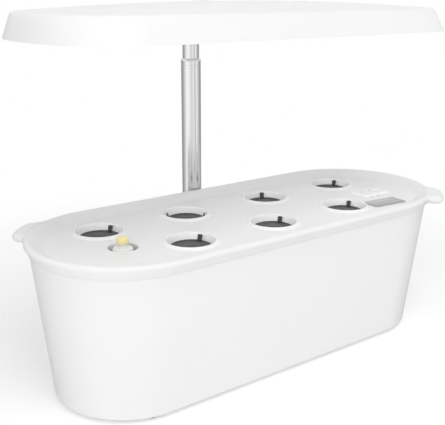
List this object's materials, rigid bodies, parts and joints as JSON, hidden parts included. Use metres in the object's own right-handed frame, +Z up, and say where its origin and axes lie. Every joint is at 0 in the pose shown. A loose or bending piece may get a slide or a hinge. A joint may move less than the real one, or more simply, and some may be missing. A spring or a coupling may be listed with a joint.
{
  "type": "countertop hydroponic garden",
  "caption": "Oval countertop hydroponic garden: water tank, lift-off planting deck with net cups, pump and level float, and a grow lamp on a telescopic mast.",
  "frame": {"origin": "on the table under the middle of the object's box", "axes": "+X along the tank to the right, -Y towards the front, +Z up"},
  "size_m": [0.423, 0.1934, 0.3219],
  "materials": {
    "white_shell": "satin moulded ABS",
    "white_inner": "plain moulded plastic",
    "grey_trim": "plain nylon",
    "soft_rubber": "matt",
    "polished_steel": "polished stainless tube",
    "screw_steel": "zinc plated",
    "black_plastic": "fine texture",
    "circuit_board": "solder mask",
    "led_carrier": "white solder mask on aluminium",
    "contact_gold": "gold plated",
    "lead_sheath": "soft sheath",
    "opal_cover": "opal",
    "led_white": "phosphor",
    "led_red": "clear red",
    "smoked_window": "smoked gloss",
    "light_green": "clear",
    "light_blue": "clear",
    "button_white": "satin",
    "float_white": "plain",
    "float_yellow": "satin",
    "rotor_magnet": "coated magnet",
    "sponge": "open foam",
    "cup_grey": "fine texture"
  },
  "bodies": {
    "base": {"tank": "white_shell", "feet": "soft_rubber", "mast_housing": "white_shell", "housing_screws": "screw_steel", "dc_inlet": "black_plastic", "driver_board": "circuit_board", "mast_foot": "white_inner", "mast_grommet": "grey_trim", "lower_tube": "polished_steel", "tube_collar": "polished_steel", "contact_socket": "white_inner", "contact_pins": "contact_gold", "lamp_lead": "lead_sheath"},
    "lamp": {"upper_tube": "polished_steel", "guide_bush": "grey_trim", "lamp_hub": "white_inner", "hub_screws": "screw_steel", "lamp_cover": "white_shell", "lamp_diffuser": "opal_cover", "lamp_screws": "screw_steel", "led_board": "led_carrier", "white_leds": "led_white", "red_leds": "led_red"},
    "deck_unit": {"deck": "white_shell", "display_window": "smoked_window", "control_pad": "white_shell", "status_light_green": "light_green", "status_light_blue": "light_blue", "control_board": "circuit_board", "control_tub": "white_inner", "tub_gasket": "soft_rubber", "tub_screws": "screw_steel", "deck_contacts": "white_inner", "float_guide": "white_inner", "pump_column": "white_inner", "pump_motor": "black_plastic", "impeller_shaft": "screw_steel", "pump_cover": "black_plastic", "strainer": "black_plastic", "pump_sponge": "sponge", "outlet_pipe": "white_inner"},
    "light_key": {"light_button": "button_white"},
    "pump_key": {"pump_button": "button_white"},
    "level_float": {"float_body": "float_white", "float_tip": "float_yellow"},
    "rotor": {"impeller": "rotor_magnet"},
    "cup_1": {"net_cup_1": "cup_grey"},
    "cup_2": {"net_cup_2": "cup_grey"},
    "cup_3": {"net_cup_3": "cup_grey"},
    "cup_4": {"net_cup_4": "cup_grey"},
    "cup_5": {"net_cup_5": "cup_grey"},
    "cup_6": {"net_cup_6": "cup_grey"},
    "cup_7": {"net_cup_7": "cup_grey"}
  },
  "joints": [
    {"name": "lamp_slide", "type": "slide", "parent": "base", "child": "lamp", "axis": [0, 0, 1], "range_m": [0, 0.18], "deforming": ["lamp_lead"]},
    {"name": "deck_lift", "type": "slide", "parent": "base", "child": "deck_unit", "axis": [0, 0, 1], "range_m": [0, 0.1]},
    {"name": "light_press", "type": "slide", "parent": "deck_unit", "child": "light_key", "axis": [0, 0, -1], "range_m": [0, 0.0008], "stiffness_N_per_m": 600},
    {"name": "pump_press", "type": "slide", "parent": "deck_unit", "child": "pump_key", "axis": [0, 0, -1], "range_m": [0, 0.0008], "stiffness_N_per_m": 600},
    {"name": "float_rise", "type": "slide", "parent": "deck_unit", "child": "level_float", "axis": [0, 0, 1], "range_m": [0, 0.022]},
    {"name": "impeller_spin", "type": "hinge", "parent": "deck_unit", "child": "rotor", "pos_m": [0.14, -0.03425, 0.034], "axis": [0, 0, 1], "continuous": true},
    {"name": "cup_1_lift", "type": "slide", "parent": "deck_unit", "child": "cup_1", "axis": [0, 0, 1], "range_m": [0, 0.045]},
    {"name": "cup_2_lift", "type": "slide", "parent": "deck_unit", "child": "cup_2", "axis": [0, 0, 1], "range_m": [0, 0.045]},
    {"name": "cup_3_lift", "type": "slide", "parent": "deck_unit", "child": "cup_3", "axis": [0, 0, 1], "range_m": [0, 0.045]},
    {"name": "cup_4_lift", "type": "slide", "parent": "deck_unit", "child": "cup_4", "axis": [0, 0, 1], "range_m": [0, 0.045]},
    {"name": "cup_5_lift", "type": "slide", "parent": "deck_unit", "child": "cup_5", "axis": [0, 0, 1], "range_m": [0, 0.045]},
    {"name": "cup_6_lift", "type": "slide", "parent": "deck_unit", "child": "cup_6", "axis": [0, 0, 1], "range_m": [0, 0.045]},
    {"name": "cup_7_lift", "type": "slide", "parent": "deck_unit", "child": "cup_7", "axis": [0, 0, 1], "range_m": [0, 0.045]}
  ]
}
